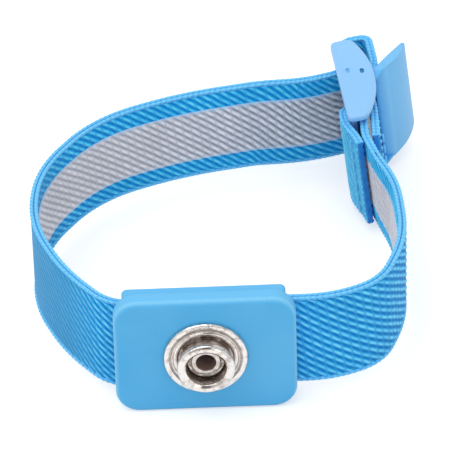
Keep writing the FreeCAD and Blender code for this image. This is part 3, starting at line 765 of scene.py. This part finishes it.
FOLDED = whole_band_columns(54)
FOLDED_FINISHES = [outer_weave, cord_blue, core_blue, stripe_weave, inner_weave, fold_shade_blue]


def lay_folded(name, first, last, node, hem=0, outer=(outer_weave, OUTER_TWILL)):
    finishes = [outer[0]] + FOLDED_FINISHES[1:]
    piece = lay_strip(name, first, last, FOLDED, finishes, [outer[1], INNER_TWILL], hem)
    return finished(piece, node)


lay_folded("sewn_end_weave", 0, SEWN_ROW, "band_sewn_end", 1, (leaf_weave_lit, LEAF_TWILL))
lay_folded("far_bar_weave", ENTRY_ROW, LOOP_ROW, "band_at_far_bar")
slack_loop = lay_folded("slack_loop_weave", LOOP_ROW, FREE_ROW, "band_under_lever")
lay_folded("free_end_weave", FREE_ROW, LAST_ROW, "band_free_end", -1)
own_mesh(slack_loop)


# Hard pieces: an outline on the piece's own axes, pulled into a block, rounded and cut.

def snap_axes(x, z, depth):
    """A point seen from the plate's front, at a depth behind its face."""
    return Vector((x, depth, z))


def buckle_axes(u, v, level):
    return Vector((u, v, level))


def lever_axes(reach, offset, level):
    """A point by its distance along the lever and its distance from the pin."""
    flat = ALONG * reach + ASIDE * offset
    return Vector((flat.x, flat.y, level))


def block(corners, low, high, axes):
    """A block with this outline between two levels."""
    bm = bmesh.new()
    face = bm.faces.new([bm.verts.new(axes(across, up, low)) for across, up in corners])
    grown = bmesh.ops.extrude_face_region(bm, geom=[face])
    moved = [item for item in grown["geom"] if isinstance(item, bmesh.types.BMVert)]
    bmesh.ops.translate(bm, verts=moved, vec=axes(0, 0, high) - axes(0, 0, low))
    bmesh.ops.recalc_face_normals(bm, faces=bm.faces)
    return bm


def round_edges(bm, test, width, segments):
    edges = [edge for edge in bm.edges if test(edge)]
    bmesh.ops.bevel(bm, geom=edges, offset=width, affect="EDGES", segments=segments, profile=0.5,
                    material=-1, clamp_overlap=True)


def at_level(axis, level):
    return lambda edge: all(abs(vertex.co[axis] - level) < 1e-4 for vertex in edge.verts)


def hold_flat(bm, axis, width):
    """A narrow ring inside each big flat end, so that it is shaded flat."""
    ends = [face for face in bm.faces if len(face.verts) > 20 and abs(face.normal[axis]) > 0.99]
    for face in ends:
        bmesh.ops.inset_individual(bm, faces=[face], thickness=width, use_even_offset=True)


def tinted(bm, rim_of):
    """Marks each point with how far a plastic is painted paler there, as painted highlight and
    light, or a metal darker, as painted shade.
    """
    rim = bm.verts.layers.float.new("rim")
    for vertex in bm.verts:
        vertex[rim] = max(0.0, min(1.0, rim_of(vertex.co)))


def stood(bm, name, stand, finish):
    """The finished piece, moved from its own axes to its place."""
    bmesh.ops.transform(bm, matrix=Matrix.Scale(MM, 4) @ stand, verts=bm.verts)
    return finish_mesh(bm, name, [finish])


def rounded_block(name, corners, levels, axes, stand, finish, rounds=(), flat=0.0,
                  rim=lambda place: 0.0):
    """A block with this outline between two levels. Rounds are the level, width and segments of
    each rounding, and flat is the width of the ring inside its flat ends."""
    bm = block(corners, *levels, axes)
    axis = 1 if axes is snap_axes else 2
    for level, width, segments in rounds:
        round_edges(bm, at_level(axis, level), width, segments)
    if flat:
        hold_flat(bm, axis, flat)
    tinted(bm, rim)
    return stood(bm, name, stand, finish)


def tool(name, corners, low, high, axes=snap_axes, stand=on_plate):
    """A plain block that cuts or joins another piece."""
    return rounded_block(name, corners, (low, high), axes, stand, moulded_blue)


def outline_of(bm):
    outline = [tuple(loop.vert.co.xy) for loop in list(bm.faces)[0].loops]
    bm.free()
    return outline


def rounded_rectangle(width, height, corner, turns=12):
    bm = bmesh.new()
    bmesh.ops.create_grid(bm, x_segments=1, y_segments=1, size=0.5)
    bmesh.ops.scale(bm, vec=(width, height, 1.0), verts=bm.verts)
    bmesh.ops.bevel(bm, geom=list(bm.verts), offset=corner, affect="VERTICES", segments=turns,
                    profile=0.5, material=-1)
    return outline_of(bm)


def round_outline(radius, centre=(0.0, 0.0), count=48):
    bm = bmesh.new()
    bmesh.ops.create_circle(bm, cap_ends=True, radius=radius, segments=count)
    bmesh.ops.translate(bm, verts=bm.verts, vec=(centre[0], centre[1], 0.0))
    return outline_of(bm)


def soft_outline(corners, step, soften):
    """A closed outline with its corners rounded off."""
    points = []
    for start, finish in zip(corners, corners[1:] + corners[:1]):
        start, finish = np.array(start, dtype=float), np.array(finish, dtype=float)
        pieces = max(1, round(float(np.linalg.norm(finish - start)) / step))
        points += [start + (finish - start) * index / pieces for index in range(pieces)]
    points = np.array(points)
    reach, weights = bell(soften)
    rolled = [weight * np.roll(points, index - reach, axis=0) for index, weight in enumerate(weights)]
    return [tuple(point) for point in sum(rolled)]


def arc_points(start, middle, finish, count):
    """Points on the arc through three points, without its last point."""
    (ax, ay), (bx, by), (cx, cy) = start, middle, finish
    twice = 2 * (ax * (by - cy) + bx * (cy - ay) + cx * (ay - by))
    a2, b2, c2 = ax * ax + ay * ay, bx * bx + by * by, cx * cx + cy * cy
    centre = Vector(((a2 * (by - cy) + b2 * (cy - ay) + c2 * (ay - by)) / twice,
                     (a2 * (cx - bx) + b2 * (ax - cx) + c2 * (bx - ax)) / twice))
    first, last = Vector(start) - centre, Vector(finish) - centre
    turn = first.angle_signed(last)
    return [tuple(centre + Matrix.Rotation(-turn * index / count, 2) @ first) for index in range(count)]


def reshaped(piece, others, operation="DIFFERENCE"):
    """The piece with the others' space cut out of it, or joined to it."""
    for other in others:
        change = piece.modifiers.new("change", "BOOLEAN")
        change.operation = operation
        change.solver = "EXACT"
        change.object = other
    bpy.context.view_layer.update()
    ready = piece.evaluated_get(bpy.context.evaluated_depsgraph_get())
    mesh = bpy.data.meshes.new_from_object(ready)
    piece.modifiers.clear()
    piece.data = mesh
    for other in others:
        bpy.data.objects.remove(other)
    bm = bmesh.new()
    bm.from_mesh(mesh)
    for edge in bm.edges:
        if len(edge.link_faces) == 2:
            edge.smooth = edge.calc_face_angle() < SHARP
    bm.to_mesh(mesh)
    bm.free()


# The plate. Outlines are width, height and corner radius, and levels are depths behind its face.

COVER_OUTLINE = (31.5, 23.5, 4.2)
COVER_BACK = 3.2
CASE_OUTLINE = (28.3, 20.5, 1.0)
CASE_PLAY = 0.3
CASE_FRONT = 1.6
CASE_BACK = 6.6
CASE_FLOOR = 5.7
BAND_SLOT_FRONT = 3.3
CONTACT_OUTLINE = (20.0, 14.0, 4.0)
CONTACT_FRONT = 6.62
CONTACT_BACK = 7.1
BOSS_RADIUS = 4.0
SHANK_HOLE = 2.15


def make_cover():
    edge = 0.95

    # Paler over the rounded front edge and the side walls: painted highlight on the edge, painted light on
    # the sides.
    def rim(place):
        if place.y < edge:
            return 0.7 * math.sin(math.pi * place.y / edge) + 0.45 * place.y / edge
        return 0.45 if place.y < COVER_BACK - 0.01 else 0.0

    cover = rounded_block("cover_shell", rounded_rectangle(*COVER_OUTLINE, 14), (0.0, COVER_BACK),
                          snap_axes, on_plate, moulded_blue,
                          ((0.0, edge, 7), (COVER_BACK, 0.45, 4)), 0.3, rim)
    width, height, corner = CASE_OUTLINE
    opening = rounded_rectangle(width + CASE_PLAY, height + CASE_PLAY, corner + CASE_PLAY / 2)
    reshaped(cover, [tool("room", opening, 1.4, 4.0)])
    reshaped(cover, [tool("boss", round_outline(BOSS_RADIUS), 1.3, 3.45)], "UNION")
    reshaped(cover, [tool("hole", round_outline(SHANK_HOLE), -1.0, 5.0)])
    finished(cover, "front_cover")


def make_case():
    edge = 0.4
    # The case is paler over its rounded back edge: painted highlight.
    case = rounded_block("case_tray", rounded_rectangle(*CASE_OUTLINE, 8), (CASE_FRONT, CASE_BACK),
                         snap_axes, on_plate, moulded_blue, [(CASE_BACK, edge, 5)], 0.25,
                         lambda place: 0.35 * (CASE_BACK - edge - 0.05 < place.y < CASE_BACK - 0.01))
    room = tool("room", rounded_rectangle(24.9, 18.7, 0.5, 6), 1.0, CASE_FLOOR)
    slots = tool("slots", rounded_rectangle(30.3, 18.6, 0.3, 3), BAND_SLOT_FRONT, CASE_FLOOR - 0.01)
    hole = tool("hole", round_outline(SHANK_HOLE), 5.0, 7.5)
    reshaped(case, [room, slots, hole])
    finished(case, "back_case")


def make_contact():
    contact = rounded_block("contact_face", rounded_rectangle(*CONTACT_OUTLINE),
                            (CONTACT_FRONT, CONTACT_BACK), snap_axes, on_plate, stainless,
                            [(CONTACT_BACK, 0.25, 4)], 0.3)
    reshaped(contact, [tool("hole", round_outline(SHANK_HOLE), 6.0, 8.0)])
    finished(contact, "contact_plate")


# Turned metal: profiles of (radius, depth, corner rounding) spun about the snap's axis. Films,
# painted shade, are shares by radius and depth.

PROFILE_STEP = 0.07
TURN_STEPS = 96
WELD_TURNED = 1e-5


def turned(name, profile, node, shade_film):
    corners = [Vector(point[:2]) for point in profile]
    start = (corners[0] + corners[-1]) / 2
    course = rounded_run([start] + corners + [start], [point[2] for point in profile], PROFILE_STEP)
    bm = bmesh.new()
    outline = [bm.verts.new((point.x, point.y, 0.0)) for point in course[:-1]]
    edges = [bm.edges.new(pair) for pair in zip(outline, outline[1:] + outline[:1])]
    bmesh.ops.spin(bm, geom=outline + edges, axis=(0, 1, 0), angle=2 * math.pi, steps=TURN_STEPS,
                   use_merge=True)
    bmesh.ops.remove_doubles(bm, verts=bm.verts, dist=WELD_TURNED)
    tinted(bm, lambda place: shade_film(math.hypot(place.x, place.z), place.y))
    finished(stood(bm, name, on_plate, nickel), node)


def make_snap():
    # Each lambda gives how much dark film, painted shade, lies at a radius and depth; the eyelet's bore, at
    # 1, is painted brown as shade.
    turned("flange_turned",
           [(2.15, 0.0, 0.02), (7.2, 0.0, 0.15), (7.4, -0.4, 0.35), (7.15, -0.88, 0.25), (6.4, -0.9, 0.4),
            (6.0, -0.5, 0.3), (5.75, -0.52, 0.2), (5.45, -0.86, 0.25), (5.0, -0.84, 0.25), (4.75, -0.5, 0.15),
            (2.15, -0.55, 0.02)],
           "stud_flange",
           lambda radius, depth: 0.45 * share_between(depth, -0.78, -0.55) * (radius < 6.5)
           + 0.3 * (radius < 5.4))
    turned("drum_turned",
           [(2.15, -0.55, 0.02), (4.5, -0.55, 0.05), (4.5, -2.35, 0.4), (5.0, -2.85, 0.4),
            (5.0, -3.75, 0.45), (4.55, -4.1, 0.4), (3.95, -4.1, 0.4), (3.42, -3.65, 0.4), (3.4, -1.15, 0.5),
            (2.15, -1.15, 0.05)],
           "stud_drum",
           lambda radius, depth: 0.78 * (share_between(depth, -3.6, -3.0) if radius < 4.2
                                         else share_between(depth, -2.9, -1.8)))
    turned("eyelet_turned",
           [(1.65, -1.5, 0.15), (1.75, -1.9, 0.15), (2.55, -1.9, 0.25), (2.7, -1.5, 0.2), (2.05, -1.2, 0.1),
            (2.05, 7.1, 0.02), (3.1, 7.12, 0.08), (3.3, 7.35, 0.2), (3.0, 7.6, 0.2), (1.9, 7.6, 0.2),
            (1.7, 7.3, 0.15)],
           "rivet_eyelet",
           lambda radius, depth: (0.4 if radius > 1.72 else 1.0) * (depth < 7.0))


# Buckle: cheeks, bars, pin and lever, on the buckle's own axes.

CHEEK_IN = 10.1
CHEEK_OUT = 11.4
CHEEK_NEAR, CHEEK_BELLY, CHEEK_FAR = (0.3, -13.6), (3.55, 0.0), (0.9, 11.4)
CHEEK_STRAIGHT = -3.2
MARKS = ((-1.15, 1.05), (1.4, 0.25))
MARK_OUTLINE = (0.75, 1.5, 0.37)
MARK_SUNK = 0.2
MARK_REACH = 0.85
NEAR_BAR = (-2.0, -10.0)
NEAR_BAR_OUTLINE = (1.6, 2.6, 0.67)
FAR_BAR = (0.0, 8.0)
BAR_RADIUS = 0.9
BAR_HALF = CHEEK_IN + 0.1
PIN_RADIUS = 0.9
PIN_HALF = 10.9


def make_cheek(side):
    belly = arc_points(CHEEK_NEAR, CHEEK_BELLY, CHEEK_FAR, 24)
    straight = [CHEEK_FAR, (CHEEK_STRAIGHT, CHEEK_FAR[1]), (CHEEK_STRAIGHT, CHEEK_NEAR[1])]
    corners = soft_outline(belly + straight, 0.25, 3.4)
    edge = 0.7

    # Paler over the rounded outer edge, and a little paler elsewhere: painted highlight.
    def rim(place):
        over = abs(place.z) - (CHEEK_OUT - edge)
        return 0.55 * math.sin(math.pi * over / edge) if 0.0 < over < edge - 1e-3 else 0.08

    cheek = rounded_block("cheek_upper" if side > 0 else "cheek_lower", corners,
                          (side * CHEEK_IN, side * CHEEK_OUT), buckle_axes, on_buckle, buckle_blue,
                          ((side * CHEEK_OUT, edge, 7), (side * CHEEK_IN, 0.12, 2)), 0.05, rim)
    slots = []
    for index, (u, v) in enumerate(MARKS):
        slot = [(u + x, v + y) for x, y in rounded_rectangle(*MARK_OUTLINE, 5)]
        slots.append(tool(f"mark_{index}", slot, side * (CHEEK_OUT - MARK_SUNK), side * (CHEEK_OUT + 0.3),
                          buckle_axes, on_buckle))
    reshaped(cheek, slots)
    # The sunk marks are painted darker, one of them fainter: painted shade in their hollows.
    cheek.data.materials.append(mark_shade_blue)
    cheek.data.materials.append(faint_mark_shade_blue)
    back = on_buckle.inverted()
    for face in cheek.data.polygons:
        at = back @ (face.center / MM)
        sunk = CHEEK_IN + 0.5 < abs(at.z) < CHEEK_OUT - 0.02
        for index, mark in ((2, MARKS[0]), (1, MARKS[1])):
            if sunk and (at.xy - Vector(mark)).length < MARK_REACH:
                face.material_index = index
    return cheek


def make_frame():
    near = [(u + NEAR_BAR[0], v + NEAR_BAR[1]) for u, v in rounded_rectangle(*NEAR_BAR_OUTLINE, 6)]
    far = round_outline(BAR_RADIUS, FAR_BAR, 32)
    pieces = [make_cheek(1), make_cheek(-1)]
    for name, corners in (("near_bar", near), ("far_bar", far)):
        pieces.append(rounded_block(name, corners, (-BAR_HALF, BAR_HALF), buckle_axes, on_buckle,
                                    buckle_blue))
    for piece in pieces:
        finished(piece, "buckle_frame")


def make_pin():
    pin = rounded_block("pin_turned", round_outline(PIN_RADIUS, count=32), (-PIN_HALF, PIN_HALF),
                        buckle_axes, on_buckle, stainless,
                        [(end, 0.2, 4) for end in (-PIN_HALF, PIN_HALF)])
    finished(pin, "hinge_pin")


LEVER_TURN = math.radians(56.5)
ALONG = Vector((math.cos(LEVER_TURN), math.sin(LEVER_TURN)))
ASIDE = Vector((math.sin(LEVER_TURN), -math.cos(LEVER_TURN)))
LEVER_HALF = 9.95
LEVER_NARROWING = 0.9
EAR_THICK = 0.68
EAR_INSET = 0.02
EYE_RADIUS = 1.9


def make_lever():
    tip, shoulder, heel = 14.5, 5.5, 3.3
    curl = arc_points((heel, 2.45), (4.4, 3.52), (shoulder, 3.7), 8)
    outer = arc_points((shoulder, 3.7), (10.0, 4.1), (tip, 3.1), 20)
    inner = arc_points((tip, 2.6), (10.0, 2.17), (shoulder, 1.95), 18)
    bm = block(curl + outer + [(tip, 3.1)] + inner + [(shoulder, 1.95), (heel, 2.0)],
               -LEVER_HALF, LEVER_HALF, lever_axes)
    everything = list(bm.verts) + list(bm.edges) + list(bm.faces)
    bmesh.ops.bisect_plane(bm, geom=everything, dist=1e-5, plane_co=lever_axes(shoulder, 0.0, 0.0),
                           plane_no=ALONG.to_3d())
    for vertex in bm.verts:
        past = max(0.0, vertex.co.xy.dot(ALONG) - shoulder) / (tip - shoulder)
        vertex.co.z *= 1 - LEVER_NARROWING * past / LEVER_HALF

    def at_tip(vertex):
        return vertex.co.xy.dot(ALONG) > tip - 0.01

    round_edges(bm, lambda edge: all(at_tip(vertex) for vertex in edge.verts)
                and abs(edge.verts[0].co.z - edge.verts[1].co.z) < 0.01, 0.6, 5)
    round_edges(bm, lambda edge: edge.is_manifold and edge.calc_face_angle() > math.radians(45), 0.13, 3)
    hold_flat(bm, 2, 0.1)

    # Paler over its top and bottom edges: painted highlight and painted light.
    def rim(place):
        past = max(0.0, place.xy.dot(ALONG) - shoulder)
        return 0.75 * (abs(place.z) > LEVER_HALF - 0.14 - 0.1 * past)
    tinted(bm, rim)
    pieces = [stood(bm, "lever_plate", on_buckle, lever_blue)]
    eye = [(EYE_RADIUS * math.cos(turn), EYE_RADIUS * math.sin(turn))
           for turn in np.radians(np.arange(-60, -271, -15))]
    corners = soft_outline([(1.6, 3.5), (6.1, 3.5), (6.1, 2.7)] + eye, 0.12, 2.0)
    high = LEVER_HALF - EAR_INSET
    # Each ear is paler near its outer face: painted highlight.
    for side, name in ((-1, "ear_lower"), (1, "ear_upper")):
        pieces.append(rounded_block(name, corners, (side * (high - EAR_THICK), side * high), lever_axes,
                                    on_buckle, lever_blue, [(side * high, 0.12, 2)],
                                    rim=lambda place: 0.4 * (abs(place.z) > high - 0.1)))
    for piece in pieces:
        finished(piece, "lever", "lever")


# Stitches: short rounded threads lying up the band's width.

STITCHES = 7
STITCH_PITCH = 2.4
STITCH_HALF = 0.85
THREAD_RADIUS = 0.2


def make_stitches(name, node, place_u, place_v):
    corners = round_outline(THREAD_RADIUS, (place_u, place_v), 10)
    for index in range(STITCHES):
        middle = (index - STITCHES // 2) * STITCH_PITCH
        ends = (middle - STITCH_HALF, middle + STITCH_HALF)
        thread = rounded_block(f"{name}_{index}", corners, ends, buckle_axes, on_buckle, thread_blue,
                               [(end, 0.12, 3) for end in ends])
        finished(thread, node)


make_cover()
make_case()
make_contact()
make_snap()
make_frame()
make_pin()
make_lever()

# The threads lie on the ribs, this far from the middle of the band.
ON_FACE = 1.105
make_stitches("sewn_stitch", "sewn_end_stitches", -2.35 - ON_FACE, -16.4)
make_stitches("hem_stitch", "free_end_stitches", 1.4 + ON_FACE, -16.0)

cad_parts["contact_washer"].data.materials.clear()
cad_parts["contact_washer"].data.materials.append(nickel)


# A white table under soft light from all round, with a large soft lamp above and in front.

TABLE_WHITE = (0.74, 0.74, 0.74, 1)
TABLE_GLOW = 0.46
TABLE_HALF = 4.0
TABLE_DROP = 0.00005
SKY_LEVEL = 0.8
DARK_FACING = (0.05, -0.7, 0.71)


def rays_seen(s):
    """The light path, and 1 where it is the camera's own, also through clear or mirroring pieces."""
    path = s.node("ShaderNodeLightPath")
    seen = s.math("MAXIMUM", path.outputs["Is Camera Ray"], path.outputs["Is Transmission Ray"])
    return path, s.math("MAXIMUM", seen, path.outputs["Is Glossy Ray"])


def light_world():
    """White all round. Only mirrorings see dark patches, above and in front, as of a room."""
    world = bpy.data.worlds.new("studio")
    bpy.context.scene.world = world
    world.use_nodes = True
    s = Shading(world.node_tree)
    s.tree.nodes.clear()
    path, seen = rays_seen(s)
    level = s.remap(seen, 0.0, 1.0, SKY_LEVEL, 1.0)
    around = s.node("ShaderNodeTexCoord").outputs["Generated"]
    facing = s.node("ShaderNodeVectorMath", {0: around, 1: DARK_FACING}, operation="DOT_PRODUCT")
    facing = facing.outputs["Value"]
    patches = s.noise(around, 4.2, 4.0)
    room = s.times(s.remap(facing, 0.35, 0.8), s.remap(patches, 0.45, 0.6, 0.0, 0.85))
    room = s.math("MAXIMUM", room, s.remap(facing, 0.84, 0.97, 0.0, 0.85))
    room = s.times(room, path.outputs["Is Glossy Ray"])
    colour = s.mix(room, paint(255, 255, 255), paint(60, 44, 34))
    plain = s.node("ShaderNodeBackground", {"Color": colour, "Strength": level})
    s.node("ShaderNodeOutputWorld", {"Surface": plain.outputs[0]})


def make_table():
    bm = bmesh.new()
    bmesh.ops.create_grid(bm, x_segments=1, y_segments=1, size=TABLE_HALF)
    mesh = bpy.data.meshes.new("table")
    bm.to_mesh(mesh)
    bm.free()
    table = added("table", mesh)
    table.location.z = -TABLE_DROP
    material, s, skin = start_material("table_white")
    s.tree.nodes.remove(skin)
    matt = s.node("ShaderNodeBsdfDiffuse", {"Color": TABLE_WHITE})
    _, seen = rays_seen(s)
    glow = s.node("ShaderNodeEmission", {"Strength": s.times(seen, TABLE_GLOW)})
    both = s.node("ShaderNodeAddShader", {0: matt.outputs[0], 1: glow.outputs[0]})
    s.feed(s.tree.nodes["Material Output"].inputs["Surface"], both.outputs[0])
    mesh.materials.append(material)


def add_softbox(name, place, size, watts):
    data = bpy.data.lights.new(name, "AREA")
    data.shape = "DISK"
    data.size = size
    data.energy = watts
    lamp = added(name, data)
    lamp.location = place
    lamp.rotation_euler = (-Vector(place)).to_track_quat("-Z", "Y").to_euler()


light_world()
make_table()
add_softbox("softbox_above", (-0.25, -0.15, 0.8), 1.0, 2.7)
add_softbox("softbox_front", (0.5, -0.9, 0.5), 0.6, 0.8)

bpy.context.scene.view_settings.view_transform = "Standard"
